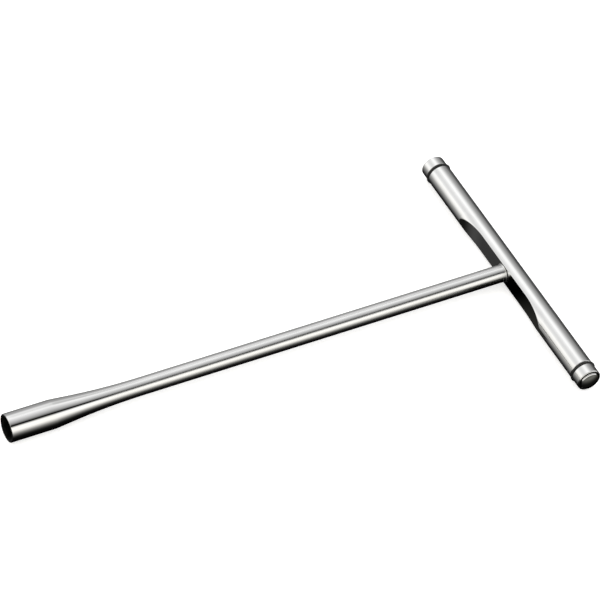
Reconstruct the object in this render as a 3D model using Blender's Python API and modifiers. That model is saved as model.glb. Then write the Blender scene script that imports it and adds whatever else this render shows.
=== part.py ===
"""T-handle socket wrench: a long stem with a hexagon socket, welded square to a cross handle.

The frame: +X runs along the stem from the socket's mouth to the handle, +Y along the handle and
+Z up. The tool lies flat on the plane z = 0, with its bounding box centred on the origin in X
and Y. Everything is in metres.
"""

import math

import bmesh
import bpy
from mathutils import Matrix, Vector

MM = 0.001

# Driving sizes. Each is set by itself and written once.
STEM_LENGTH = 279.0 * MM            # from the socket's mouth to the handle's axis
STEM_RADIUS = 4.55 * MM
SOCKET_RADIUS = 7.35 * MM
SOCKET_STRAIGHT = 24.0 * MM         # round part of the socket, from the mouth
SOCKET_TAPER = 50.0 * MM            # swelling between the socket and the plain stem
TAPER_EASE = 0.58                   # below 1, the swelling falls quickly and runs out slowly
SOCKET_MOUTH_ROUND = 0.5 * MM
HEX_ACROSS_FLATS = 10.1 * MM        # for a 10 mm hexagon, with 0.1 mm of play
HEX_DEPTH = 15.0 * MM
HEX_LEAD_IN = 1.25 * MM             # 45 degree cone that guides the nut into the hexagon
RELIEF_RADIUS = 4.4 * MM            # round bore behind the hexagon, for a bolt's free end
RELIEF_DEPTH = 10.0 * MM

BAR_LENGTH = 150.0 * MM
BAR_RADIUS = 6.4 * MM
BAR_EDGE = 0.4 * MM
FLAT_DEPTH = 2.7 * MM               # milled off the bar on the stem's side
FLAT_HALF_LENGTH = 22.0 * MM        # full-depth part of the flat, each way from the stem
FLAT_RUN_OUT_RADIUS = 75.0 * MM     # the milling cutter's radius, left at the flat's ends

TENON_RADIUS = 3.0 * MM             # end of the stem inside the bar
TENON_LENGTH = 5.5 * MM
WELD_LEG = 0.55 * MM                # polished bead around the stem's foot

CAP_BAND = 5.8 * MM                 # round side of an end cap
CAP_UNDERSIZE = 0.1 * MM            # a cap is this much slimmer than the bar, on its radius
CAP_EDGE = 0.5 * MM                 # rounding of the band's outer corner
CAP_GROOVE_WIDTH = 0.7 * MM         # narrow groove between the band's rim and the dome
CAP_GROOVE_DEPTH = 0.5 * MM
CAP_RIM_ROUND = 0.9 * MM            # rounding of the dome's own rim
CAP_DOME = 0.7 * MM                 # rise of the dome over that rounding
CAP_NECK_DEPTH = 1.0 * MM           # how far the grip ring sinks below the bar's surface
SPIGOT_RADIUS = 4.0 * MM
SPIGOT_LENGTH = 12.0 * MM

RING_WIRE = 0.6 * MM                # radius of a grip ring's own round section
GAP = 0.25 * MM                     # clearance kept wherever two pieces meet

# Smoothness of the turned shapes.
STEPS = 48
ROUND_POINTS = 5
TAPER_POINTS = 10
DOME_POINTS = 7
RUN_OUT_POINTS = 8
CUT_MARGIN = 1.0 * MM               # how far a cutter reaches past what it cuts

# Sizes that follow from the driving sizes.
RING_CENTRE_RADIUS = BAR_RADIUS - CAP_NECK_DEPTH + GAP + RING_WIRE
RING_OUTER_RADIUS = RING_CENTRE_RADIUS + RING_WIRE
HANDLE_X = (STEM_LENGTH - max(RING_OUTER_RADIUS, BAR_RADIUS)) / 2
MOUTH_X = HANDLE_X - STEM_LENGTH
AXIS_Z = max(SOCKET_RADIUS, RING_OUTER_RADIUS, BAR_RADIUS)
FLAT_X = HANDLE_X - (BAR_RADIUS - FLAT_DEPTH)
BAR_END = BAR_LENGTH / 2
RING_Y = BAR_END + GAP + RING_WIRE
BORE_RADIUS = SPIGOT_RADIUS + GAP
BORE_DEPTH = SPIGOT_LENGTH + GAP

STEM_MATERIAL = ("chrome_stem", (0.80, 0.81, 0.81), 0.09, 1.0)
BAR_MATERIAL = ("chrome_bar", (0.80, 0.81, 0.81), 0.10, 1.0)
WELD_MATERIAL = ("chrome_weld", (0.66, 0.67, 0.67), 0.22, 1.0)
CAP_MATERIAL = ("chrome_cap", (0.74, 0.75, 0.75), 0.10, 1.0)
RING_MATERIAL = ("black_rubber", (0.012, 0.012, 0.012), 0.48, 0.0)


def clear_scene():
    """Remove whatever the scene already holds."""
    for old in list(bpy.data.objects):
        bpy.data.objects.remove(old, do_unlink=True)


def new_collection(name):
    """Make a collection under the scene and return it."""
    made = bpy.data.collections.new(name)
    bpy.context.scene.collection.children.link(made)
    return made


def material(spec):
    """Return the plain material that a (name, colour, roughness, metallic) tuple describes."""
    name, colour, roughness, metallic = spec
    found = bpy.data.materials.get(name)
    if found:
        return found
    made = bpy.data.materials.new(name)
    made.use_nodes = True
    shader = made.node_tree.nodes["Principled BSDF"]
    shader.inputs["Base Color"].default_value = (*colour, 1.0)
    shader.inputs["Roughness"].default_value = roughness
    shader.inputs["Metallic"].default_value = metallic
    made.diffuse_color = (*colour, 1.0)
    return made


def add_object(name, mesh, collection, spec=None):
    """Wrap a mesh in a named object inside the given collection."""
    made = bpy.data.objects.new(name, mesh)
    collection.objects.link(made)
    if spec:
        mesh.materials.append(material(spec))
    return made


def make_cutter(cutter):
    """Hide a cutter from the model and show it as a wire."""
    cutter.hide_render = True
    cutter.display_type = "WIRE"
    return cutter


def turned(name, profile, collection, spec=None):
    """Turn a (radius, height) profile about +Z with a Screw modifier.

    The profile runs down the outer side, so it starts on the axis at the top and ends on the
    axis at the bottom, or closes on itself for a ring.
    """
    mesh = bpy.data.meshes.new(name)
    is_ring = min(radius for radius, _ in profile) > 0
    count = len(profile)
    edges = [(i, i + 1) for i in range(count - 1)]
    if is_ring:
        edges.append((count - 1, 0))
    mesh.from_pydata([(radius, 0.0, height) for radius, height in profile], edges, [])
    made = add_object(name, mesh, collection, spec)
    screw = made.modifiers.new("turn", "SCREW")
    screw.axis = "Z"
    screw.steps = STEPS
    screw.render_steps = STEPS
    screw.use_merge_vertices = True
    screw.merge_threshold = 0.00001
    screw.use_smooth_shade = True
    return made


def cut(target, cutter, label):
    """Subtract a cutter from a piece."""
    boolean = target.modifiers.new(label, "BOOLEAN")
    boolean.operation = "DIFFERENCE"
    boolean.solver = "EXACT"
    boolean.object = cutter


def point_along(made, direction, place):
    """Turn an object's own +Z to a direction and set it at a place."""
    turn = Vector(direction).to_track_quat("Z", "Y").to_matrix().to_4x4()
    made.matrix_world = Matrix.Translation(place) @ turn


def rounded_corner(radius_out, height, size):
    """Profile points of a quarter round, from the end face down to the outer side."""
    points = []
    for i in range(ROUND_POINTS + 1):
        angle = 0.5 * math.pi * i / ROUND_POINTS
        points.append((radius_out - size + size * math.sin(angle),
                       height - size + size * math.cos(angle)))
    return points


def taper_radius(share):
    """Radius of the swelling, a share of the way from the socket to the plain stem.

    The curve leaves the socket on a short round shoulder and runs out slowly along the stem.
    """
    eased = 0.5 * (1.0 + math.cos(math.pi * share ** TAPER_EASE))
    return STEM_RADIUS + (SOCKET_RADIUS - STEM_RADIUS) * eased


def build_stem(parts, cutters):
    """The round stem: hexagon socket at one end, shoulder and tenon at the other."""
    mouth = -STEM_LENGTH
    shoulder = -(BAR_RADIUS - FLAT_DEPTH) - GAP
    tenon_end = shoulder + TENON_LENGTH
    profile = [(0.0, tenon_end), (TENON_RADIUS, tenon_end), (TENON_RADIUS, shoulder)]
    profile.append((STEM_RADIUS, shoulder))
    for i in range(TAPER_POINTS, -1, -1):
        share = i / TAPER_POINTS
        profile.append((taper_radius(share), mouth + SOCKET_STRAIGHT + SOCKET_TAPER * share))
    for radius, height in reversed(rounded_corner(SOCKET_RADIUS, 0.0, SOCKET_MOUTH_ROUND)):
        profile.append((radius, mouth - height))
    profile.append((0.0, mouth))
    stem = turned("stem", profile, parts, STEM_MATERIAL)
    place = Vector((HANDLE_X, 0.0, AXIS_Z))
    point_along(stem, (1, 0, 0), place)

    hexagon = add_prism("hexagon_cutter", 6, HEX_ACROSS_FLATS / math.sqrt(3),
                        HEX_DEPTH + CUT_MARGIN, cutters)
    mouth_place = Vector((MOUTH_X, 0.0, AXIS_Z))
    point_along(hexagon, (1, 0, 0), mouth_place + Vector(((HEX_DEPTH - CUT_MARGIN) / 2, 0, 0)))
    cut(stem, hexagon, "hexagon")

    inscribed = HEX_ACROSS_FLATS / 2
    cone = [(0.0, CUT_MARGIN), (inscribed + HEX_LEAD_IN + CUT_MARGIN, CUT_MARGIN),
            (inscribed, -HEX_LEAD_IN), (0.0, -HEX_LEAD_IN)]
    lead_in = make_cutter(turned("lead_in_cutter", cone, cutters))
    point_along(lead_in, (-1, 0, 0), mouth_place)
    cut(stem, lead_in, "lead_in")

    bore = [(0.0, RELIEF_DEPTH), (RELIEF_RADIUS, RELIEF_DEPTH), (RELIEF_RADIUS, 0.0),
            (0.0, -RELIEF_RADIUS / 2)]
    relief = make_cutter(turned("relief_cutter", bore, cutters))
    point_along(relief, (-1, 0, 0),
                mouth_place + Vector((HEX_DEPTH - CUT_MARGIN + RELIEF_DEPTH, 0, 0)))
    cut(stem, relief, "relief")


def add_prism(name, sides, corner_radius, length, collection):
    """A regular prism along its own Z, centred on its origin, as a cutter."""
    shape = bmesh.new()
    bmesh.ops.create_cone(shape, cap_ends=True, segments=sides, radius1=corner_radius,
                          radius2=corner_radius, depth=length)
    mesh = bpy.data.meshes.new(name)
    shape.to_mesh(mesh)
    shape.free()
    return make_cutter(add_object(name, mesh, collection))


def flat_cutter(collection):
    """The block that the milling cutter sweeps: straight along the flat, round at its ends."""
    reach = FLAT_DEPTH + CUT_MARGIN
    sweep = math.acos(1.0 - reach / FLAT_RUN_OUT_RADIUS)
    outline = []
    for i in range(RUN_OUT_POINTS + 1):
        angle = sweep * (1.0 - i / RUN_OUT_POINTS)
        outline.append((FLAT_X - FLAT_RUN_OUT_RADIUS * (1.0 - math.cos(angle)),
                        -FLAT_HALF_LENGTH - FLAT_RUN_OUT_RADIUS * math.sin(angle)))
    outline += [(x, -y) for x, y in reversed(outline)]
    half_height = BAR_RADIUS + CUT_MARGIN
    shape = bmesh.new()
    corners = [shape.verts.new((x, y, AXIS_Z - half_height)) for x, y in outline]
    base = shape.faces.new(corners)
    grown = bmesh.ops.extrude_face_region(shape, geom=[base])
    top = [v for v in grown["geom"] if isinstance(v, bmesh.types.BMVert)]
    bmesh.ops.translate(shape, verts=top, vec=(0.0, 0.0, 2 * half_height))
    bmesh.ops.recalc_face_normals(shape, faces=shape.faces)
    mesh = bpy.data.meshes.new("flat_cutter")
    shape.to_mesh(mesh)
    shape.free()
    return make_cutter(add_object("flat_cutter", mesh, collection))


def build_handle_bar(parts, cutters):
    """The cross bar, with its milled flat, the tenon's hole and a bore in each end."""
    profile = [(0.0, BAR_END), (BAR_RADIUS - BAR_EDGE, BAR_END), (BAR_RADIUS, BAR_END - BAR_EDGE),
               (BAR_RADIUS, -BAR_END + BAR_EDGE), (BAR_RADIUS - BAR_EDGE, -BAR_END),
               (0.0, -BAR_END)]
    bar = turned("handle_bar", profile, parts, BAR_MATERIAL)
    centre = Vector((HANDLE_X, 0.0, AXIS_Z))
    point_along(bar, (0, 1, 0), centre)
    cut(bar, flat_cutter(cutters), "flat")

    hole = add_prism("tenon_hole_cutter", STEPS, TENON_RADIUS + GAP,
                     TENON_LENGTH + CUT_MARGIN, cutters)
    hole_x = FLAT_X + (TENON_LENGTH - CUT_MARGIN) / 2
    point_along(hole, (1, 0, 0), Vector((hole_x, 0.0, AXIS_Z)))
    cut(bar, hole, "tenon_hole")

    for side, word in ((-1, "near"), (1, "far")):
        bore = add_prism(word + "_bore_cutter", STEPS, BORE_RADIUS, BORE_DEPTH + CUT_MARGIN,
                         cutters)
        bore_y = side * (BAR_END - (BORE_DEPTH - CUT_MARGIN) / 2)
        point_along(bore, (0, 1, 0), Vector((HANDLE_X, bore_y, AXIS_Z)))
        cut(bar, bore, word + "_bore")


def build_weld_fillet(parts):
    """The polished bead in the corner between the stem and the bar's flat."""
    foot = FLAT_X - GAP
    inner = STEM_RADIUS + GAP
    outer = STEM_RADIUS + WELD_LEG
    profile = [(inner, 0.0)]
    for i in range(ROUND_POINTS + 1):
        angle = 0.5 * math.pi * i / ROUND_POINTS
        profile.append((outer - (outer - inner) * math.cos(angle) * 0.8,
                        -WELD_LEG * (0.2 + 0.8 * math.sin(angle))))
    profile.append((inner, -WELD_LEG))
    fillet = turned("weld_fillet", profile, parts, WELD_MATERIAL)
    point_along(fillet, (-1, 0, 0), Vector((foot - WELD_LEG, 0.0, AXIS_Z)))


def dome_profile(radius, base, rim_round, rise):
    """Profile points of a shallow ball-shaped dome with a rounded rim, from its top down."""
    dome_radius = radius - rim_round
    ball = (dome_radius ** 2 + rise ** 2) / (2 * rise)
    widest = math.asin(dome_radius / ball)
    top = base + rim_round + rise
    points = []
    for i in range(DOME_POINTS + 1):
        angle = widest * i / DOME_POINTS
        points.append((ball * math.sin(angle), top - ball * (1.0 - math.cos(angle))))
    return points + rounded_corner(radius, base + rim_round, rim_round)[1:]


def build_end_cap(word, side, parts):
    """One end cap: spigot, neck under the grip ring, round band, groove and dome."""
    radius = BAR_RADIUS - CAP_UNDERSIZE
    neck_radius = BAR_RADIUS - CAP_NECK_DEPTH
    band_start = 2 * (GAP + RING_WIRE)
    band_end = band_start + CAP_BAND
    edge = rounded_corner(radius, band_end, CAP_EDGE)
    groove_outer = edge[0][0]
    groove_inner = groove_outer - CAP_GROOVE_WIDTH
    groove_floor = band_end - CAP_GROOVE_DEPTH
    profile = dome_profile(groove_inner, band_end, CAP_RIM_ROUND, CAP_DOME)
    profile += [(groove_inner, groove_floor), (groove_outer, groove_floor)]
    profile += edge
    profile += [(radius, band_start), (neck_radius, band_start), (neck_radius, GAP),
                (SPIGOT_RADIUS, GAP), (SPIGOT_RADIUS, -SPIGOT_LENGTH), (0.0, -SPIGOT_LENGTH)]
    cap = turned(word + "_end_cap", profile, parts, CAP_MATERIAL)
    point_along(cap, (0, side, 0), Vector((HANDLE_X, side * BAR_END, AXIS_Z)))


def build_grip_ring(word, side, parts):
    """One black grip ring, held between the bar's end and the cap's band."""
    shape = []
    points = 4 * ROUND_POINTS
    for i in range(points):
        angle = -2 * math.pi * i / points
        shape.append((RING_CENTRE_RADIUS + RING_WIRE * math.cos(angle),
                      RING_WIRE * math.sin(angle)))
    ring = turned(word + "_grip_ring", shape, parts, RING_MATERIAL)
    point_along(ring, (0, side, 0), Vector((HANDLE_X, side * RING_Y, AXIS_Z)))


def main():
    """Build the wrench."""
    clear_scene()
    parts = new_collection("t_handle_socket_wrench")
    cutters = new_collection("cutters")
    build_stem(parts, cutters)
    build_handle_bar(parts, cutters)
    build_weld_fillet(parts)
    for word, side in (("near", -1), ("far", 1)):
        build_end_cap(word, side, parts)
        build_grip_ring(word, side, parts)


main()
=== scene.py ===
"""Visual model of a T-handle socket wrench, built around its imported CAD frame.

The wrench lies flat: +X runs along the stem from the socket's mouth to the handle, +Y along the
handle and +Z up. Every piece is a surface worked out on a grid with numpy, at its place in the
frame. All lengths are in metres.
"""

from __future__ import annotations

import logging
import math
from dataclasses import dataclass
from enum import Enum
from typing import Any

import bpy
import numpy as np
from mathutils import Matrix, Vector


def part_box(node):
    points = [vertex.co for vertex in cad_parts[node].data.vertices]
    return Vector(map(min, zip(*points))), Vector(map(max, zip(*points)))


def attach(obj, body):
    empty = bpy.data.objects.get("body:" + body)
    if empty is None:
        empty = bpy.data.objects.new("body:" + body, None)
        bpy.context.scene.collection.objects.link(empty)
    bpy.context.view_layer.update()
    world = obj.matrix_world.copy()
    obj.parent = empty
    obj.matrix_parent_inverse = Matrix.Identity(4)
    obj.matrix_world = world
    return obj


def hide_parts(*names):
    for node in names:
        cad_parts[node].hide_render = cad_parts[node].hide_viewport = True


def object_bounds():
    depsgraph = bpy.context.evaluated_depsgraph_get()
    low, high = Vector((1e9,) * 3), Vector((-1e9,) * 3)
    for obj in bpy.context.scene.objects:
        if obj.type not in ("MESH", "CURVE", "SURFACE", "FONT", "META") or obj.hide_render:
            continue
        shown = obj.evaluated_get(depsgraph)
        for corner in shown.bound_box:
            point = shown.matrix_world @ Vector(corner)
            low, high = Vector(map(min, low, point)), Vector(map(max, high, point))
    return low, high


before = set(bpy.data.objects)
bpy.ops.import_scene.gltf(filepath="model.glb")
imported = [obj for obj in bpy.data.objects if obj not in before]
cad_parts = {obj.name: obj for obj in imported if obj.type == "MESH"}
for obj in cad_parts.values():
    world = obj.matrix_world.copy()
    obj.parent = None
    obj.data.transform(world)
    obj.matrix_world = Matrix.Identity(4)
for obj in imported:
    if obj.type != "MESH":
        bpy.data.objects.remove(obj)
CAD_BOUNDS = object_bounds()

MM = 0.001
FULL_TURN = 2.0 * math.pi
BODY = "root"                           # the one rigid body that every piece rides on
CLEARANCE = 0.25 * MM                   # kept between neighbouring pieces of the frame
LOG = logging.getLogger("t_handle_wrench")

Triple = tuple[float, float, float]


class Direction(Enum):
    """Which way a turned piece points, as (axis, first cross axis, second cross axis)."""

    ALONG_STEM = ((1, 0, 0), (0, 1, 0), (0, 0, 1))
    TOWARD_NEAR = ((0, -1, 0), (-1, 0, 0), (0, 0, 1))
    TOWARD_FAR = ((0, 1, 0), (1, 0, 0), (0, 0, 1))

    def basis(self) -> np.ndarray:
        """Return the 3 by 3 array whose rows are the axis and its two cross axes."""
        return np.array(self.value, float)


class End(Enum):
    """Which end of the cross handle a piece sits on, with the way that its cap points."""

    NEAR = Direction.TOWARD_NEAR
    FAR = Direction.TOWARD_FAR


# ---------------------------------------------------------------------------------------------
# Mesh helpers
# ---------------------------------------------------------------------------------------------


def arc(centre: tuple[float, float], radius: float, start: float, stop: float,
        count: int) -> np.ndarray:
    """Points of a circular arc in the (radius, height) plane.

    Args:
        centre: The arc's centre.
        radius: The arc's radius.
        start: First angle in degrees, from the outward radius towards +height.
        stop: Last angle in degrees.
        count: How many points.

    Returns:
        A (count, 2) array: centre + radius * (cos angle, sin angle).
    """
    angle = np.radians(np.linspace(start, stop, count))
    return np.array(centre) + radius * np.stack([np.cos(angle), np.sin(angle)], axis=1)


def line(start: tuple[float, float], stop: tuple[float, float], count: int) -> np.ndarray:
    """Evenly spaced points of a straight line in the (radius, height) plane, both ends in.

    Args:
        start: The line's first point.
        stop: The line's last point.
        count: How many points.

    Returns:
        A (count, 2) array: start + (stop - start) * share, with the share going from 0 to 1.
    """
    return np.linspace(np.array(start, float), np.array(stop, float), count)


def joined(*runs: np.ndarray) -> np.ndarray:
    """Join profile runs end to end.

    Args:
        runs: Arrays of points. A first point that repeats the last one before it is dropped.

    Returns:
        One array of all the points.
    """
    rows = [runs[0]]
    for run in runs[1:]:
        same = np.allclose(run[0], rows[-1][-1], atol=1e-9)
        rows.append(run[1:] if same else run)
    return np.concatenate(rows)


def linked(name: str, mesh: bpy.types.Mesh) -> bpy.types.Object:
    """Put a mesh into the scene.

    Args:
        name: The object's name.
        mesh: Its mesh.

    Returns:
        The new object, at the origin.
    """
    made = bpy.data.objects.new(name, mesh)
    bpy.context.scene.collection.objects.link(made)
    return made


def grid_mesh(name: str, points: np.ndarray, wrap_rows: bool = False) -> bpy.types.Object:
    """Make a closed mesh from a grid of points.

    The grid has rows along the profile and columns around the axis, and always wraps round in
    its columns. Its rows either wrap as well, as on a ring, or start and end in a pole: the
    first and the last row are then single points, each shared by all columns.

    Args:
        name: The piece's name.
        points: A (rows, columns, 3) array.
        wrap_rows: Whether the last row joins the first one.

    Returns:
        The new object.
    """
    columns = points.shape[1]
    inner = points if wrap_rows else points[1:-1]
    count = inner.shape[0]
    index = np.arange(count * columns).reshape(count, columns)
    below = np.roll(index, -1, axis=0) if wrap_rows else index[1:]
    above = index if wrap_rows else index[:-1]
    quads = np.stack([above, np.roll(above, -1, axis=1), np.roll(below, -1, axis=1), below],
                     axis=-1).reshape(-1, 4)
    vertices = inner.reshape(-1, 3)
    faces = quads.tolist()
    if not wrap_rows:
        vertices = np.concatenate([vertices, points[0, :1], points[-1, :1]])
        first, last = count * columns, count * columns + 1
        top, bottom = index[0], index[-1]
        faces += np.stack([np.full(columns, first), np.roll(top, -1), top], axis=1).tolist()
        faces += np.stack([np.full(columns, last), bottom, np.roll(bottom, -1)], axis=1).tolist()
    mesh = bpy.data.meshes.new(name)
    mesh.from_pydata(vertices.tolist(), [], faces)
    mesh.update()
    mesh.shade_smooth()
    return linked(name, mesh)


def turned_points(profile: np.ndarray, columns: int) -> np.ndarray:
    """Turn a profile around its axis.

    Args:
        profile: A (rows, 2) array of radius and height.
        columns: How many points go round.

    Returns:
        A (rows, columns, 3) array: height, radius * cos angle, radius * sin angle.
    """
    angle = np.linspace(0.0, FULL_TURN, columns, endpoint=False)
    radius, height = profile[:, :1], profile[:, 1:]
    across = radius * np.cos(angle)
    up = radius * np.sin(angle)
    return np.stack([np.broadcast_to(height, across.shape), across, up], axis=-1)


def placed(local: np.ndarray, direction: Direction, origin: Vector) -> np.ndarray:
    """Carry local points into the frame.

    Args:
        local: An array whose last axis is (along, across, up).
        direction: Which way the piece's axis points.
        origin: Where the piece's axis starts.

    Returns:
        origin + local @ basis, as an array of the same shape.
    """
    return np.array(origin) + local @ direction.basis()


def middle(low: Vector, high: Vector) -> Vector:
    """Return the middle of a box."""
    return (low + high) / 2


# ---------------------------------------------------------------------------------------------
# Shader helpers
# ---------------------------------------------------------------------------------------------


class Value:
    """A number socket that can be used in Python expressions, each adding a Math node."""

    def __init__(self, shader: "Shader", socket: bpy.types.NodeSocket) -> None:
        """Wrap an output socket of the given shader tree."""
        self.shader = shader
        self.socket = socket

    def _math(self, operation: str, *values: Any) -> "Value":
        """Add a Math node.

        Args:
            operation: The node's operation.
            values: What goes into its inputs, in order.

        Returns:
            The node's output.
        """
        made = self.shader.node("ShaderNodeMath", {"operation": operation},
                                dict(enumerate(values)))
        return self.shader.value(made)

    def __add__(self, other: Any) -> "Value":
        """Return self + other."""
        return self._math("ADD", self, other)

    __radd__ = __add__

    def __sub__(self, other: Any) -> "Value":
        """Return self - other."""
        return self._math("SUBTRACT", self, other)

    def __rsub__(self, other: Any) -> "Value":
        """Return other - self."""
        return self._math("SUBTRACT", other, self)

    def __mul__(self, other: Any) -> "Value":
        """Return self * other."""
        return self._math("MULTIPLY", self, other)

    __rmul__ = __mul__

    def __truediv__(self, other: Any) -> "Value":
        """Return self / other."""
        return self._math("DIVIDE", self, other)

    def __rtruediv__(self, other: Any) -> "Value":
        """Return other / self."""
        return self._math("DIVIDE", other, self)

    def __neg__(self) -> "Value":
        """Return -self."""
        return self._math("MULTIPLY", self, -1.0)

    def __abs__(self) -> "Value":
        """Return the absolute value."""
        return self._math("ABSOLUTE", self)

    def angle_to(self, other: "Value") -> "Value":
        """Return atan2(self, other) in radians."""
        return self._math("ARCTAN2", self, other)

    def step(self, low: float, high: float, start: float = 0.0, stop: float = 1.0) -> "Value":
        """Return a smooth step between two levels.

        Args:
            low: The value up to which the result is start.
            high: The value from which the result is stop.
            start: The first level.
            stop: The second level.

        Returns:
            start + (stop - start) * s * s * (3 - 2 * s), where s is how far from low to high.
        """
        made = self.shader.node(
            "ShaderNodeMapRange", {"interpolation_type": "SMOOTHSTEP", "clamp": True},
            {"Value": self, "From Min": low, "From Max": high, "To Min": start, "To Max": stop})
        return self.shader.value(made)


class Shader:
    """A node tree with one method for adding any node."""

    def __init__(self, tree: bpy.types.NodeTree) -> None:
        """Empty the tree and keep it."""
        self.tree = tree
        tree.nodes.clear()

    def node(self, kind: str, settings: dict[str, Any] | None = None,
             inputs: dict[Any, Any] | None = None) -> bpy.types.Node:
        """Add a node.

        Args:
            kind: The node's type name.
            settings: Attributes to set before the inputs. A ramp's stops go under "stops", as
                (position, brightness) pairs.
            inputs: Values, Value wrappers or sockets for the node's inputs, by name or number.

        Returns:
            The new node.
        """
        made = self.tree.nodes.new(kind)
        for key, value in (settings or {}).items():
            if key == "stops":
                self._set_stops(made.color_ramp, value)
            else:
                setattr(made, key, value)
        for key, value in (inputs or {}).items():
            self.feed(made.inputs[key], value)
        return made

    def feed(self, target: bpy.types.NodeSocket, value: Any) -> None:
        """Give an input its value.

        Args:
            target: The input.
            value: A wrapped value or an output socket, which is linked, or a constant.
        """
        source = value.socket if isinstance(value, Value) else value
        if isinstance(source, bpy.types.NodeSocket):
            self.tree.links.new(source, target)
        else:
            target.default_value = source

    @staticmethod
    def _set_stops(ramp: bpy.types.ColorRamp, stops: list[tuple[float, float]]) -> None:
        """Give a ramp its stops.

        Args:
            ramp: The ramp, with two stops or more.
            stops: (position, brightness) pairs in rising order of position.
        """
        while len(ramp.elements) < len(stops):
            ramp.elements.new(0.5)
        for element, (position, shade) in zip(ramp.elements, stops):
            element.position = position
            element.color = (shade, shade, shade, 1.0)

    def value(self, node: bpy.types.Node, output: Any = 0) -> Value:
        """Wrap one of a node's outputs."""
        return Value(self, node.outputs[output])

    def axes(self, coordinates: str) -> tuple[Value, Value, Value]:
        """Split coordinates into their three numbers.

        Args:
            coordinates: The name of one of the Texture Coordinate node's outputs.

        Returns:
            The x, y and z values.
        """
        place = self.node("ShaderNodeTexCoord")
        parts = self.node("ShaderNodeSeparateXYZ", {}, {0: place.outputs[coordinates]})
        return self.value(parts, 0), self.value(parts, 1), self.value(parts, 2)

    def mixed(self, share: Value, first: Triple, second: Triple) -> bpy.types.NodeSocket:
        """Mix two colours.

        Args:
            share: How much of the second colour there is, from 0 to 1.
            first: The colour at 0.
            second: The colour at 1.

        Returns:
            The mixed colour's socket.
        """
        made = self.node("ShaderNodeMix", {"data_type": "RGBA"},
                         {0: share, 6: (*first, 1.0), 7: (*second, 1.0)})
        return made.outputs[2]

    def noise(self, scale: Triple, detail: float,
              roughness: float) -> Value:
        """Return noise over the Object coordinates.

        Args:
            scale: How many grains there are to a metre along x, y and z.
            detail: How many finer layers are added.
            roughness: How strong each finer layer is.

        Returns:
            A value from 0 to 1, about 0.5 on average.
        """
        place = self.node("ShaderNodeTexCoord")
        mapped = self.node("ShaderNodeMapping", {},
                           {"Vector": place.outputs["Object"], "Scale": scale})
        made = self.node("ShaderNodeTexNoise", {},
                         {"Vector": mapped.outputs[0], "Scale": 1.0, "Detail": detail,
                          "Roughness": roughness})
        return self.value(made, "Fac")


class Material:
    """A Principled material with its own shader tree."""

    def __init__(self, name: str) -> None:
        """Start the material with a Principled BSDF wired to its output.

        Args:
            name: The material's name.
        """
        self.data = bpy.data.materials.new(name)
        self.data.use_nodes = True
        self.shader = Shader(self.data.node_tree)
        self.surface = self.shader.node("ShaderNodeBsdfPrincipled")
        self.shader.node("ShaderNodeOutputMaterial", {}, {"Surface": self.surface.outputs[0]})

    def set(self, **inputs: Any) -> None:
        """Set or link the Principled inputs; an underscore in a name stands for a space."""
        for key, value in inputs.items():
            self.shader.feed(self.surface.inputs[key.replace("_", " ")], value)

    def bump(self, height: Value, strength: float, distance: float) -> None:
        """Feed a Bump node into the surface's normal.

        Args:
            height: The height, from 0 to 1.
            strength: The share of the bump that shows.
            distance: The height in metres that 1 stands for.
        """
        made = self.shader.node("ShaderNodeBump", {}, {"Height": height, "Strength": strength,
                                                       "Distance": distance})
        self.set(Normal=made.outputs[0])


# ---------------------------------------------------------------------------------------------
# Finishes
# ---------------------------------------------------------------------------------------------


@dataclass(frozen=True)
class ChromePlate:
    """Polished chrome plate: near-mirror, with faint polishing lines and handling haze.

    The lines run along the axis in which line_scale is smallest. A stem's shaft is rougher than
    its forged head: shaft_roughness is what is added, between the two x positions in shaft_from.
    """

    name: str
    tint: Triple = (0.86, 0.86, 0.855)
    shade: Triple = (0.82, 0.82, 0.815)
    roughness: float = 0.03
    haze: float = 0.035
    cloud_scale: Triple = (55.0, 55.0, 55.0)
    line_scale: Triple = (60.0, 9000.0, 9000.0)
    line_strength: float = 0.35
    line_height: float = 0.0004 * MM
    shaft_roughness: float = 0.0
    shaft_from: tuple[float, float] = (-112.0 * MM, -80.0 * MM)

    def build(self) -> bpy.types.Material:
        """Return the finished material."""
        made = Material(self.name)
        shader = made.shader
        cloud = shader.noise(self.cloud_scale, 4.0, 0.55)
        lines = shader.noise(self.line_scale, 2.0, 0.6)
        rough = cloud.step(0.35, 0.8, self.roughness, self.roughness + self.haze * 0.6)
        rough = rough + lines.step(0.45, 0.75, 0.0, self.haze * 0.4)
        if self.shaft_roughness:
            along = shader.axes("Object")[0]
            rough = rough + along.step(*self.shaft_from, 0.0, self.shaft_roughness)
        made.set(Base_Color=shader.mixed(cloud.step(0.3, 0.7), self.shade, self.tint),
                 Metallic=1.0, Roughness=rough)
        made.bump(lines, self.line_strength, self.line_height)
        return made.data


@dataclass(frozen=True)
class DarkBoreAndPaintedGrooveShade:
    """Near-black, dull and finely grained inside the socket; in the caps' grooves the same dark
    is painted shade.
    """

    name: str = "dark_bore_and_painted_groove_shade"
    # near-black: the socket's inside, and painted shade in the caps' grooves
    colour: Triple = (0.002, 0.002, 0.002)
    lighter: Triple = (0.006, 0.006, 0.005)
    shine: float = 0.04
    grain_scale: Triple = (900.0, 900.0, 900.0)
    grain_height: float = 0.01 * MM

    def build(self) -> bpy.types.Material:
        """Return the finished material."""
        made = Material(self.name)
        shader = made.shader
        grain = shader.noise(self.grain_scale, 4.0, 0.6)
        made.set(Base_Color=shader.mixed(grain.step(0.35, 0.75), self.colour, self.lighter),
                 Metallic=0.0, Specular_IOR_Level=self.shine,
                 Roughness=grain.step(0.2, 0.8, 0.5, 0.7))
        made.bump(grain, 0.4, self.grain_height)
        return made.data


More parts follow.
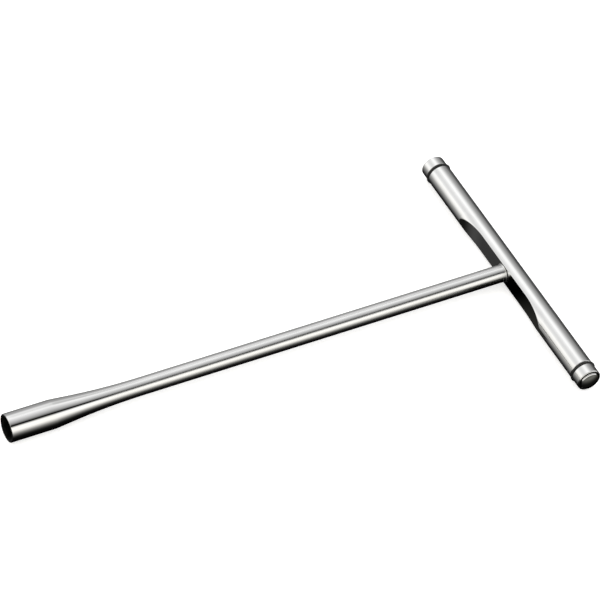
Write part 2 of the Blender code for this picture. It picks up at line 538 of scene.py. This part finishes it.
@dataclass(frozen=True)
class BlackRubber:
    """Moulded nitrile rubber of the grip rings."""

    name: str = "ring_rubber"
    colour: Triple = (0.006, 0.006, 0.006)
    dusty: Triple = (0.018, 0.018, 0.017)
    grain_scale: Triple = (2500.0, 2500.0, 2500.0)
    dust_scale: Triple = (300.0, 300.0, 300.0)
    grain_height: float = 0.006 * MM

    def build(self) -> bpy.types.Material:
        """Return the finished material."""
        made = Material(self.name)
        shader = made.shader
        grain = shader.noise(self.grain_scale, 3.0, 0.55)
        dust = shader.noise(self.dust_scale, 2.0, 0.5)
        made.set(Base_Color=shader.mixed(dust.step(0.4, 0.75), self.colour, self.dusty),
                 Roughness=grain.step(0.3, 0.7, 0.38, 0.52))
        made.bump(grain, 0.3, self.grain_height)
        return made.data


@dataclass(frozen=True)
class PaleFloor:
    """A plain pale studio floor, with a glow of its own that keeps it even."""

    name: str = "studio_floor"
    brightness: float = 0.92
    glow: float = 0.55

    def build(self) -> bpy.types.Material:
        """Return the finished material."""
        made = Material(self.name)
        level = self.brightness
        made.set(Base_Color=(level, level, level, 1.0), Roughness=0.9,
                 Emission_Color=(1.0, 1.0, 1.0, 1.0), Emission_Strength=self.glow)
        return made.data


# ---------------------------------------------------------------------------------------------
# Pieces
# ---------------------------------------------------------------------------------------------


@dataclass
class Piece:
    """A visible piece that stands for one CAD node."""

    node: str
    slot: str
    smooth_columns: int = 192

    def declare(self, made: bpy.types.Object, finish: list[bpy.types.Material]) -> None:
        """Dress a finished object, hang it on the body that it rides on and hide the CAD node
        that it stands for.

        Args:
            made: The object.
            finish: Its materials, in the order that its faces number them.
        """
        for material in finish:
            made.data.materials.append(material)
        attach(made, BODY)
        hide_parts(self.node)
        LOG.info("%s: %d vertices, %d faces", made.name, len(made.data.vertices),
                 len(made.data.polygons))


@dataclass
class Stem(Piece):
    """The round stem with its swelled hexagon socket, its axis measured from the mouth."""

    radius: float = 4.55 * MM
    straight: float = 24.0 * MM
    taper: float = 50.0 * MM
    ease: float = 0.58
    mouth_round: float = 0.5 * MM
    hex_flats: float = 10.1 * MM
    hex_depth: float = 15.0 * MM
    hex_corner_cut: float = 0.14 * MM
    hex_sharpness: float = 60.0
    lead_in: float = 1.25 * MM
    relief_radius: float = 4.4 * MM
    relief_depth: float = 10.0 * MM
    tenon_radius: float = 3.0 * MM
    tenon_length: float = 5.5 * MM
    edge: float = 0.15 * MM
    around: int = 240
    crowding: float = 0.11

    def outer_profile(self, length: float, socket_radius: float) -> np.ndarray:
        """The outside, from the tenon's end to the mouth's rim.

        The swelling's radius is the stem's plus half a cosine of a power of the distance, so it
        leaves the socket on a short shoulder and runs out slowly.

        Args:
            length: From the mouth to the tenon's end.
            socket_radius: The socket's outer radius.

        Returns:
            A (rows, 2) array of radius and distance from the mouth.
        """
        shoulder = length - self.tenon_length
        share = np.linspace(1.0, 0.0, 90)
        eased = 0.5 * (1.0 + np.cos(math.pi * share ** self.ease))
        swelling = np.stack([self.radius + (socket_radius - self.radius) * eased,
                             self.straight + self.taper * share], axis=1)
        corner = self.edge
        return joined(
            line((0.0, length), (self.tenon_radius - corner, length), 4),
            arc((self.tenon_radius - corner, length - corner), corner, 90, 0, 5),
            line((self.tenon_radius, length - corner), (self.tenon_radius, shoulder), 4),
            line((self.tenon_radius, shoulder), (self.radius - corner, shoulder), 3),
            arc((self.radius - corner, shoulder - corner), corner, 90, 0, 5),
            line((self.radius, shoulder - corner), (self.radius, self.straight + self.taper), 60),
            swelling,
            line((socket_radius, self.straight), (socket_radius, self.mouth_round), 12),
            arc((socket_radius - self.mouth_round, self.mouth_round), self.mouth_round, 0, -90,
                10),
        )

    def hexagon_radius(self, angle: np.ndarray) -> np.ndarray:
        """Distance from the axis to the hexagon's wall, its corners slightly rounded.

        The wall is at half the width across flats over the cosine of the angle from the nearest
        flat's middle. A soft minimum of that and of a little less than the corner's own distance
        rounds the corner.

        Args:
            angle: Angles around the axis, in radians.

        Returns:
            One distance for each angle.
        """
        half_side = math.pi / 6
        folded = np.mod(angle + half_side, 2 * half_side) - half_side
        wall = 0.5 * self.hex_flats / np.cos(folded)
        corner = 0.5 * self.hex_flats / math.cos(half_side) - self.hex_corner_cut
        sharp = self.hex_sharpness
        return -np.log(np.exp(-sharp * wall / corner) + np.exp(-sharp)) * corner / sharp

    def columns(self) -> np.ndarray:
        """Angles around the axis, closer together near the hexagon's six corners."""
        even = np.linspace(0.0, FULL_TURN, self.around, endpoint=False)
        return even + self.crowding * np.sin(6.0 * even) / 6.0

    def bore_rows(self, angle: np.ndarray) -> tuple[np.ndarray, np.ndarray]:
        """The inside, from the lead-in's cone to the relief bore's pointed end.

        The cone narrows by its own depth until it meets the hexagon's wall.

        Args:
            angle: Angles around the axis, in radians.

        Returns:
            Radii as a (rows, columns) array, and one distance from the mouth for each row.
        """
        wall = self.hexagon_radius(angle)
        bottom = self.hex_depth + self.relief_depth
        cone = np.linspace(0.0, self.lead_in * 1.02, 10)
        straight = np.linspace(self.lead_in * 1.05, self.hex_depth, 8)
        cone_radius = 0.5 * self.hex_flats + self.lead_in - cone
        relief = np.array([self.relief_radius, self.relief_radius, 0.0])
        radius = np.concatenate([
            np.maximum(cone_radius[:, None], wall),
            np.broadcast_to(wall, (len(straight), len(angle))),
            np.broadcast_to(relief[:, None], (len(relief), len(angle))),
        ])
        tip = bottom + self.relief_radius / 2
        return radius, np.concatenate([cone, straight, [self.hex_depth, bottom, tip]])

    def build(self, chrome: bpy.types.Material, bore: bpy.types.Material) -> None:
        """Build the stem as one closed surface: outside, rim, hexagon and relief bore.

        Args:
            chrome: The outside's material.
            bore: The inside's material.
        """
        low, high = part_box(self.node)
        mouth = middle(low, high)
        mouth.x = low.x
        outer = self.outer_profile(high.x - low.x, (high.z - low.z) / 2)
        angle = self.columns()
        inner_radius, inner_height = self.bore_rows(angle)
        outer_radius = np.broadcast_to(outer[:, :1], (len(outer), len(angle)))
        radius = np.concatenate([outer_radius, inner_radius])
        height = np.concatenate([outer[:, 1], inner_height])[:, None]
        local = np.stack([np.broadcast_to(height, radius.shape), radius * np.cos(angle),
                          radius * np.sin(angle)], axis=-1)
        made = grid_mesh("stem_shaft", placed(local, Direction.ALONG_STEM, mouth))
        self.paint_bore(made, len(outer))
        self.declare(made, [chrome, bore])

    def paint_bore(self, made: bpy.types.Object, first_row: int) -> None:
        """Give the second material to the faces past the rim, the last pole's among them.

        Args:
            made: The stem, whose faces are in rows, then two poles.
            first_row: The first row of points inside the rim.
        """
        index = np.zeros(len(made.data.polygons), np.int32)
        index[(first_row - 1) * self.around:-2 * self.around] = 1
        index[-self.around:] = 1
        made.data.polygons.foreach_set("material_index", index)


@dataclass
class HandleBar(Piece):
    """The round cross bar with its milled flat and the flat's curved run-outs."""

    edge: float = 0.4 * MM
    flat_depth: float = 2.7 * MM
    flat_half: float = 22.0 * MM
    run_out: float = 75.0 * MM
    crease: float = 0.05 * MM
    bore_radius: float = 4.25 * MM
    bore_depth: float = 12.25 * MM
    hole_radius: float = 3.25 * MM
    hole_depth: float = 5.5 * MM
    spare: float = 2.0 * MM
    narrowest_half_angle: float = 3.0

    def plane_distance(self, along: np.ndarray, radius: float) -> np.ndarray:
        """Distance of the milled surface from the bar's axis.

        It is the radius less the depth along the flat, and rises past the flat's ends on the
        cutter's own circle.

        Args:
            along: Positions along the bar, from its middle.
            radius: The bar's radius.

        Returns:
            One distance for each position.
        """
        past = np.clip(np.abs(along) - self.flat_half, 0.0, self.run_out)
        rise = self.run_out - np.sqrt(self.run_out ** 2 - past ** 2)
        return radius - self.flat_depth + rise

    def side_rows(self, along: np.ndarray, radius: float) -> np.ndarray:
        """The bar's round side with its flat.

        The columns are spread so that the same ones always lie along the flat's two long edges:
        shares from -1 to 1 of the flat's half angle go from edge to edge, and the rest go round
        the back. The surface is a soft minimum of the circle and the milled plane, which rounds
        the edges by about the crease.

        Args:
            along: Positions of the rows along the bar, from its middle.
            radius: The bar's radius.

        Returns:
            A (rows, columns, 3) array: along the bar, towards the handle's back, up.
        """
        plane = self.plane_distance(along, radius)
        widest_cosine = math.cos(math.radians(self.narrowest_half_angle))
        half_angle = np.arccos(np.clip(plane / radius, -1.0, widest_cosine))[:, None]
        tight = np.array([0.0, 0.004, 0.008, 0.014, 0.03, 0.07, 0.16])
        flat_share = np.concatenate([tight - 1.0, np.linspace(-0.75, 0.75, 17),
                                     1.0 - tight[::-1]])
        back_share = np.concatenate([tight[1:] * 0.5, np.linspace(0.12, 0.88, 71),
                                     1.0 - tight[:0:-1] * 0.5])
        angle = np.concatenate([half_angle * flat_share,
                                half_angle + (FULL_TURN - 2 * half_angle) * back_share], axis=1)
        cosine = np.cos(angle)
        tiny = 1e-3
        reach = np.where(cosine > tiny, plane[:, None] / np.maximum(cosine, tiny), 10 * radius)
        gap = np.clip((reach - radius) / self.crease, -60.0, 60.0)
        soft = radius - np.log1p(np.exp(-gap)) * self.crease
        return np.stack([np.broadcast_to(along[:, None], soft.shape), -soft * cosine,
                         soft * np.sin(angle)], axis=-1)

    def stations(self, half: float) -> np.ndarray:
        """Positions of the rows along the bar, closest together on the flat's run-outs.

        Args:
            half: Half the bar's length.

        Returns:
            Rising positions, from one rounded end to the other.
        """
        tip = self.flat_half + math.sqrt(2 * self.flat_depth * self.run_out) + self.spare
        run_out = np.linspace(self.flat_half, tip, 60)
        plain = np.linspace(tip, half - self.edge, 8)[1:]
        flat = np.linspace(-self.flat_half, self.flat_half, 12)[1:-1]
        return np.concatenate([-plain[::-1], -run_out[::-1], flat, run_out, plain])

    def build(self, chrome: bpy.types.Material) -> None:
        """Build the bar: bore, end face, side with its flat, end face, bore.

        Args:
            chrome: The bar's material.
        """
        low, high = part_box(self.node)
        radius = (high.z - low.z) / 2
        half = (high.y - low.y) / 2
        centre = middle(low, high)
        centre.x = high.x - radius
        side = self.side_rows(self.stations(half), radius)
        bottom = half - self.bore_depth
        profile = joined(
            line((0.0, -bottom), (self.bore_radius, -bottom), 3),
            line((self.bore_radius, -bottom), (self.bore_radius, -half), 5),
            line((self.bore_radius, -half), (radius - self.edge, -half), 3),
            arc((radius - self.edge, -half + self.edge), self.edge, -90, -9, 8),
        )
        start = self.end_rows(profile, side[0])
        stop = start[::-1] * np.array([-1.0, 1.0, 1.0])
        local = np.concatenate([start, side, stop])
        points = local[..., [1, 0, 2]] + np.array(centre)
        made = grid_mesh("handle_bar_body", points)
        self.drill(made, centre, radius)
        self.declare(made, [chrome])

    @staticmethod
    def end_rows(profile: np.ndarray, row: np.ndarray) -> np.ndarray:
        """Turn an end's profile with the same columns as the side.

        Args:
            profile: A (rows, 2) array of radius and position along the bar.
            row: The side's row nearest to the end.

        Returns:
            A (rows, columns, 3) array: position along the bar, radius * direction of the row.
        """
        unit = row[:, 1:] / np.linalg.norm(row[:, 1:], axis=1, keepdims=True)
        across = profile[:, :1, None] * unit[None, :, :]
        along = np.broadcast_to(profile[:, 1][:, None, None], across.shape[:2] + (1,))
        return np.concatenate([along, across], axis=-1)

    def drill(self, made: bpy.types.Object, centre: Vector, radius: float) -> None:
        """Cut the blind hole behind the flat that takes the stem's tenon.

        Args:
            made: The bar.
            centre: The middle of its axis.
            radius: Its radius.
        """
        margin = 1.0 * MM
        corners = [(0.0, -margin), (self.hole_radius, -margin),
                   (self.hole_radius, self.hole_depth), (0.0, self.hole_depth)]
        local = turned_points(np.array(corners), 64)
        flat = centre - Vector((radius - self.flat_depth, 0.0, 0.0))
        cutter = grid_mesh("tenon_hole", placed(local, Direction.ALONG_STEM, flat))
        cutter.data.flip_normals()
        boolean = made.modifiers.new("tenon_hole", "BOOLEAN")
        boolean.operation = "DIFFERENCE"
        boolean.solver = "EXACT"
        boolean.object = cutter
        bpy.context.view_layer.update()
        graph = bpy.context.evaluated_depsgraph_get()
        drilled = bpy.data.meshes.new_from_object(made.evaluated_get(graph))
        made.modifiers.clear()
        made.data = drilled
        bpy.data.objects.remove(cutter)


@dataclass
class WeldFillet(Piece):
    """The polished bead in the corner between the stem's foot and the flat."""

    stem_radius: float = 4.55 * MM
    foot_gap: float = 0.01 * MM
    lip: float = 0.04 * MM

    def build(self, chrome: bpy.types.Material) -> None:
        """Build the bead: a ring whose outer side is a hollow quarter of an ellipse.

        The hollow's radius is the outer one less its width * sin angle, and its height is its
        rise * cos angle, with the angle going from 0 at the flat to 90 degrees at the stem.

        Args:
            chrome: The bead's material.
        """
        low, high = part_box(self.node)
        outer = (high.z - low.z) / 2
        depth = high.x - low.x
        foot = middle(low, high)
        foot.x = low.x
        inner = self.stem_radius + self.foot_gap
        width, rise = outer - inner - self.lip, depth - self.lip
        sweep = np.radians(np.linspace(0.0, 90.0, 20))
        hollow = np.stack([outer - width * np.sin(sweep), rise * np.cos(sweep)], axis=1)
        profile = joined(line((inner, depth), tuple(hollow[-1]), 8), hollow[::-1],
                         line(tuple(hollow[0]), (outer, depth), 2))
        local = turned_points(profile, self.smooth_columns)
        made = grid_mesh("weld_bead", placed(local, Direction.ALONG_STEM, foot), wrap_rows=True)
        self.declare(made, [chrome])


@dataclass
class EndCap(Piece):
    """A capped end: round band, narrow groove, round-rimmed shallow dome, neck and spigot."""

    end: End = End.NEAR
    band: float = 5.8 * MM
    edge: float = 0.5 * MM
    groove_width: float = 0.7 * MM
    groove_depth: float = 0.5 * MM
    rim_round: float = 0.9 * MM
    dome_rise: float = 0.7 * MM
    neck_width: float = 1.45 * MM
    neck_radius: float = 5.4 * MM
    spigot_radius: float = 4.0 * MM
    soft: float = 0.1 * MM

    def profile(self, radius: float, length: float) -> np.ndarray:
        """The cap's outline, from the middle of its dome down to the end of its spigot.

        The dome is an arc of a ball that rises by dome_rise inside the rounded rim, so the
        ball's radius is (flank ** 2 + rise ** 2) / (2 * rise), where the flank is where the
        rounding starts.

        Args:
            radius: The band's radius.
            length: From the spigot's end to the dome's top.

        Returns:
            A (rows, 2) array of radius and height above the spigot's end.
        """
        soft = self.soft
        base = length - self.dome_rise - self.rim_round
        groove_out, groove_in = self.groove(radius)
        flank = groove_in - self.rim_round
        ball = (flank ** 2 + self.dome_rise ** 2) / (2 * self.dome_rise)
        widest = math.degrees(math.asin(flank / ball))
        floor = base - self.groove_depth
        start = base - self.band
        neck = start - self.neck_width + CLEARANCE
        chamfer = 4 * soft
        return joined(
            arc((0.0, length - ball), ball, 90, 90 - widest, 40),
            arc((flank, base), self.rim_round, 88 - widest, 0, 14),
            line((groove_in, base), (groove_in, floor + soft), 5),
            arc((groove_in + soft, floor + soft), soft, 180, 270, 5),
            arc((groove_out - soft, floor + soft), soft, 270, 360, 5),
            line((groove_out, floor + soft), (groove_out, base), 5),
            arc((groove_out, base - self.edge), self.edge, 90, 0, 12),
            line((radius, base - self.edge), (radius, start + soft), 14),
            arc((radius - soft, start + soft), soft, 0, -90, 5),
            line((self.neck_radius, start), (self.neck_radius, neck), 4),
            line((self.spigot_radius, neck), (self.spigot_radius, chamfer), 4),
            line((self.spigot_radius - chamfer, 0.0), (0.0, 0.0), 3),
        )

    def groove(self, radius: float) -> tuple[float, float]:
        """The groove's outer and inner radius."""
        outer = radius - self.edge
        return outer, outer - self.groove_width

    def paint_groove_shade(self, made: bpy.types.Object, profile: np.ndarray, radius: float,
                     length: float) -> None:
        """Give the second material, a near-black that paints the groove's shade, to the faces
        inside the groove.

        Args:
            made: The cap.
            profile: Its outline.
            radius: The band's radius.
            length: From the spigot's end to the dome's top.
        """
        slack = self.soft / 2
        base = length - self.dome_rise - self.rim_round
        outer, inner = self.groove(radius)
        inside = (profile[:, 0] > inner - slack) & (profile[:, 0] < outer + slack)
        inside &= (profile[:, 1] < base) & (profile[:, 1] > base - self.groove_depth - self.soft)
        index = np.zeros(len(made.data.polygons), np.int32)
        rows = np.flatnonzero(inside[:-1] & inside[1:]) - 1
        columns = np.arange(self.smooth_columns)
        index[rows[:, None] * self.smooth_columns + columns] = 1
        made.data.polygons.foreach_set("material_index", index)

    def build(self, chrome: bpy.types.Material, groove_shade_material: bpy.types.Material) -> None:
        """Build the cap, with painted shade on the faces inside its groove.

        Args:
            chrome: The cap's material.
            groove_shade_material: The groove's material.
        """
        low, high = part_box(self.node)
        radius, length = (high.z - low.z) / 2, high.y - low.y
        profile = self.profile(radius, length)
        local = turned_points(profile, self.smooth_columns)
        inboard = middle(low, high)
        inboard.y = low.y if self.end is End.FAR else high.y
        points = placed(local, self.end.value, inboard)
        made = grid_mesh(self.node + "_turned", points)
        # the groove's faces get the near-black material: painted shade
        self.paint_groove_shade(made, profile, radius, length)
        self.declare(made, [chrome, groove_shade_material])


@dataclass
class GripRing(Piece):
    """A black rubber ring with a faint moulding line around its middle."""

    flash: float = 0.02 * MM
    flash_width: float = 0.06

    def build(self, rubber: bpy.types.Material) -> None:
        """Build the ring: a round section with a small raised line on its outside.

        The section's radius is the wire's, less the line's height except on the line itself, a
        bell curve around the outermost point.

        Args:
            rubber: The ring's material.
        """
        low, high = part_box(self.node)
        outer = (high.z - low.z) / 2
        wire = (high.y - low.y) / 2
        sweep = np.linspace(0.0, FULL_TURN, 48, endpoint=False)
        raised = self.flash * np.exp(-(np.sin(sweep / 2) / self.flash_width) ** 2)
        section = wire + raised - self.flash
        profile = np.stack([outer - wire + section * np.cos(sweep), section * np.sin(sweep)],
                           axis=1)
        local = turned_points(profile[::-1], self.smooth_columns)
        points = placed(local, Direction.TOWARD_FAR, middle(low, high))
        made = grid_mesh(self.node + "_moulded", points, wrap_rows=True)
        self.declare(made, [rubber])


# ---------------------------------------------------------------------------------------------
# Studio
# ---------------------------------------------------------------------------------------------

Bands = tuple[tuple[float, float], ...]

# How bright the studio is at an angle from straight up, as (degrees, display brightness). The
# first table goes round the stem, from the near side to the far side, and the second round the
# handle, from the socket's side to the back.
STEM_BANDS: Bands = (
    (-180.0, 0.03), (-140.0, 0.07), (-124.0, 0.18), (-112.0, 0.36), (-100.0, 0.55),
    (-88.0, 0.80), (-77.0, 0.98), (-62.0, 1.03), (-52.0, 1.00), (-45.0, 0.72),
    (-40.0, 0.22), (-36.0, 0.06), (-31.0, 0.08), (-26.0, 0.40), (-20.0, 0.56),
    (-4.0, 0.74), (12.0, 0.87), (25.0, 0.96), (36.0, 1.06), (46.0, 0.98),
    (58.0, 0.80), (70.0, 0.63), (90.0, 0.58), (120.0, 0.30), (145.0, 0.12),
    (180.0, 0.05),
)
HANDLE_BANDS: Bands = (
    (-180.0, 0.10), (-156.0, 0.14), (-137.0, 0.32), (-119.0, 0.46), (-104.0, 0.60),
    (-91.0, 0.80), (-78.0, 0.96), (-63.0, 1.00), (-48.0, 0.91), (-36.0, 0.85),
    (-24.0, 0.86), (-10.0, 0.93), (2.0, 1.00), (13.0, 0.97), (24.0, 0.86),
    (36.0, 0.73), (52.0, 0.60), (68.0, 0.53), (84.0, 0.36), (110.0, 0.24),
    (150.0, 0.20), (180.0, 0.10),
)


@dataclass
class Studio:
    """The floor, the soft surrounding light and the camera.

    The camera's eye and target are measured from the joint between the stem and the handle.
    """

    eye: Triple = (-0.9482, -1.3382, 1.6273)
    target: Triple = (-0.1077, 0.0225, 0.0)
    roll: float = 6.54
    lens: float = 273.8
    sensor_width: float = 36.0
    clip: tuple[float, float] = (0.01, 50.0)
    floor_size: float = 6.0
    floor_drop: float = 0.02 * MM
    card_rise: float = 0.05 * MM
    gain: float = 1.2
    cool: Triple = (1.0, 1.0, 1.0)
    warm: Triple = (1.0, 0.983, 0.935)
    warm_from: tuple[float, float] = (-0.1, 0.5)
    handle_middle: float = 0.575
    handle_fade: tuple[float, float] = (0.06, 0.22)

    def build_floor(self) -> None:
        """Lay the floor just under the wrench; it isn't seen in reflections."""
        height = CAD_BOUNDS[0][2] - self.floor_drop
        count = 9
        span = np.linspace(-self.floor_size / 2, self.floor_size / 2, count)
        x, y = np.meshgrid(span, span)
        points = np.stack([x, y, np.full_like(x, height)], axis=-1).reshape(-1, 3)
        index = np.arange(count * count).reshape(count, count)
        faces = np.stack([index[:-1, :-1], index[:-1, 1:], index[1:, 1:], index[1:, :-1]],
                         axis=-1).reshape(-1, 4)
        mesh = bpy.data.meshes.new("studio_floor")
        mesh.from_pydata(points.tolist(), [], faces.tolist())
        mesh.materials.append(PaleFloor().build())
        floor = linked("studio_floor", mesh)
        floor.visible_glossy = False

    def build_card(self, name: str, near: tuple[float, float], far: tuple[float, float],
                   fade: tuple[float, float], levels: tuple[float, float]) -> None:
        """Lay a card on the floor that is seen only in reflections.

        Args:
            name: The card's name.
            near: Its corner with the lowest x and y.
            far: Its corner with the highest x and y.
            fade: The two y positions between which its brightness changes.
            levels: The linear brightness before and after the change.
        """
        height = CAD_BOUNDS[0][2] + self.card_rise
        corners = [(near[0], near[1], height), (far[0], near[1], height),
                   (far[0], far[1], height), (near[0], far[1], height)]
        mesh = bpy.data.meshes.new(name)
        mesh.from_pydata(corners, [], [(0, 1, 2, 3)])
        made = Material(name)
        level = made.shader.axes("Object")[1].step(*fade, *levels)
        tint = made.shader.node("ShaderNodeCombineXYZ", {}, {0: level, 1: level, 2: level * 0.9})
        made.set(Base_Color=(0.0, 0.0, 0.0, 1.0), Roughness=1.0, Specular_IOR_Level=0.0,
                 Emission_Color=tint.outputs[0], Emission_Strength=1.0)
        mesh.materials.append(made.data)
        card = linked(name, mesh)
        card.visible_camera = False
        card.visible_diffuse = False
        card.visible_shadow = False

    def build_cards(self) -> None:
        """Darken the milled flat on the stem's near side, and lift the near cap's face."""
        low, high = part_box("handle_bar")
        self.build_card("foot_flag", near=(low.x - 12 * MM, -42 * MM), far=(high.x, 6.2 * MM),
                        fade=(-30 * MM, -8 * MM), levels=(0.024, 0.0))
        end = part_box("near_end_cap")[0].y
        self.build_card("cap_card", near=(low.x - 4 * MM, end - 90 * MM),
                        far=(high.x + 60 * MM, end - 1 * MM),
                        fade=(end - 22 * MM, end - 3 * MM), levels=(0.15, 0.006))

    def build_light(self) -> None:
        """Surround the wrench with a soft studio: white tents above, darkness low down.

        Everything is lit by an even white. In reflections the light is in bands, one set round
        the stem and one round the handle. The handle's set shows in directions whose y is near
        the one that the handle reflects, and fades into the stem's on both sides. The near side
        is slightly warmer.
        """
        world = bpy.data.worlds.new("studio_light")
        bpy.context.scene.world = world
        world.use_nodes = True
        shader = Shader(world.node_tree)
        x, y, z = shader.axes("Generated")
        stem = self.band_level(shader, y.angle_to(z), STEM_BANDS)
        handle = self.band_level(shader, x.angle_to(z), HANDLE_BANDS)
        toward_handle = abs(y - self.handle_middle).step(*self.handle_fade, 1.0, 0.0)
        studio = stem + (handle - stem) * toward_handle
        path = shader.node("ShaderNodeLightPath")
        glossy = shader.value(path, "Is Glossy Ray")
        level = studio * glossy * self.gain + (1.0 - glossy)
        tint = shader.mixed((-(x + y)).step(*self.warm_from), self.cool, self.warm)
        light = shader.node("ShaderNodeBackground", {}, {"Color": tint, "Strength": level})
        shader.node("ShaderNodeOutputWorld", {}, {"Surface": light.outputs[0]})

    @staticmethod
    def band_level(shader: Shader, angle: Value, bands: Bands) -> Value:
        """Brightness of the studio at an angle from straight up, read from a ramp.

        Args:
            shader: The world's tree.
            angle: The angle in radians, from -pi to pi.
            bands: (degrees, display brightness) pairs in rising order of angle.

        Returns:
            The linear brightness: the display brightness to the power 2.2.
        """
        stops = [((degrees + 180.0) / 360.0, level ** 2.2) for degrees, level in bands]
        share = (angle + math.pi) / FULL_TURN
        ramp = shader.node("ShaderNodeValToRGB", {"stops": stops}, {0: share})
        return shader.value(ramp)

    def build_camera(self) -> None:
        """Place the camera, turned by its roll about its own line of sight."""
        low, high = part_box("handle_bar")
        joint = middle(low, high)
        joint.x = high.x - (high.z - low.z) / 2
        eye = joint + Vector(self.eye)
        forward = (joint + Vector(self.target) - eye).normalized()
        level = forward.cross(Vector((0, 0, 1))).normalized()
        upright = level.cross(forward)
        tilt = math.radians(self.roll)
        right = level * math.cos(tilt) + upright * math.sin(tilt)
        up = right.cross(forward)
        data = bpy.data.cameras.new("view_camera")
        data.lens = self.lens
        data.sensor_width = self.sensor_width
        data.clip_start, data.clip_end = self.clip
        camera = bpy.data.objects.new("view_camera", data)
        bpy.context.scene.collection.objects.link(camera)
        turn = Matrix((right, up, -forward)).transposed().to_4x4()
        camera.matrix_world = Matrix.Translation(eye) @ turn
        bpy.context.scene.camera = camera


def main() -> None:
    """Build every piece, the studio and the camera."""
    logging.basicConfig(level=logging.INFO, format="%(name)s: %(message)s")
    bpy.context.scene.view_settings.view_transform = "Standard"
    stem_chrome = ChromePlate("chrome_stem", shaft_roughness=0.17).build()
    bar_chrome = ChromePlate("chrome_bar", line_scale=(9000.0, 60.0, 9000.0)).build()
    cap_chrome = ChromePlate("chrome_cap", line_scale=(9000.0, 300.0, 9000.0)).build()
    weld_chrome = ChromePlate("chrome_weld", roughness=0.3, haze=0.1).build()
    # near-black for the socket's inside; the caps' grooves take it as painted shade
    bore = DarkBoreAndPaintedGrooveShade().build()
    Stem("stem", "chrome_stem").build(stem_chrome, bore)
    HandleBar("handle_bar", "chrome_bar").build(bar_chrome)
    WeldFillet("weld_fillet", "chrome_weld").build(weld_chrome)
    rubber = BlackRubber().build()
    for end in End:
        word = end.name.lower()
        EndCap(word + "_end_cap", "chrome_cap", end=end).build(cap_chrome, bore)
        GripRing(word + "_grip_ring", "black_rubber").build(rubber)
    studio = Studio()
    studio.build_floor()
    studio.build_cards()
    studio.build_light()
    studio.build_camera()


if __name__ == "__main__":
    main()
